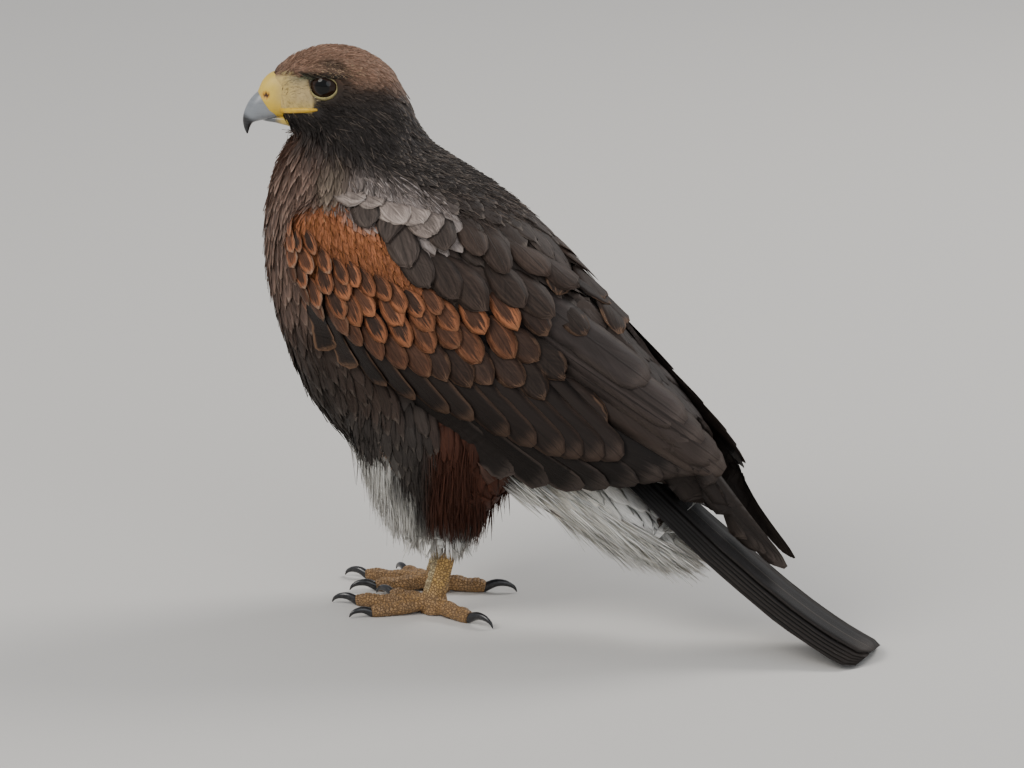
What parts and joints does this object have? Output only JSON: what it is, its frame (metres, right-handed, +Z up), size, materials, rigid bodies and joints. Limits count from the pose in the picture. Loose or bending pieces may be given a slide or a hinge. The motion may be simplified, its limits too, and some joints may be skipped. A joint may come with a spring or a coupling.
{
  "type": "harris hawk model",
  "caption": "Life-size still model of a Harris's hawk standing on the ground, head turned a little to its left, wings folded, tail reaching down to the floor.",
  "frame": {"origin": "on the floor, under the middle of the bird's box", "axes": "+Z up, the bird's body faces -X and its left side is towards -Y"},
  "size_m": [0.3794, 0.1408, 0.3201],
  "materials": {
    "dark_plumage": "matte dark brown feathers with chestnut shoulders and thighs",
    "white_plumage": "soft off-white feathers",
    "yellow_skin": "waxy yellow skin",
    "bill_horn": "smooth blue-grey horn, black at the tip",
    "eye": "wet, dark brown iris and black pupil",
    "leg_skin": "scaled ochre-yellow skin",
    "claw_horn": "polished black horn"
  },
  "bodies": {
    "root": {"head": "dark_plumage", "neck": "dark_plumage", "torso": "dark_plumage", "eye_left": "eye", "eye_right": "eye", "cere": "yellow_skin", "bill_upper": "bill_horn", "bill_lower": "bill_horn", "wing_left": "dark_plumage", "wing_right": "dark_plumage", "tail": "dark_plumage", "undertail_coverts": "white_plumage", "thigh_left": "dark_plumage", "thigh_right": "dark_plumage", "shank_left": "leg_skin", "shank_right": "leg_skin", "foot_left": "leg_skin", "foot_right": "leg_skin", "claw_left_inner": "claw_horn", "claw_left_middle": "claw_horn", "claw_left_outer": "claw_horn", "claw_left_hind": "claw_horn", "claw_right_inner": "claw_horn", "claw_right_middle": "claw_horn", "claw_right_outer": "claw_horn", "claw_right_hind": "claw_horn"}
  },
  "joints": []
}
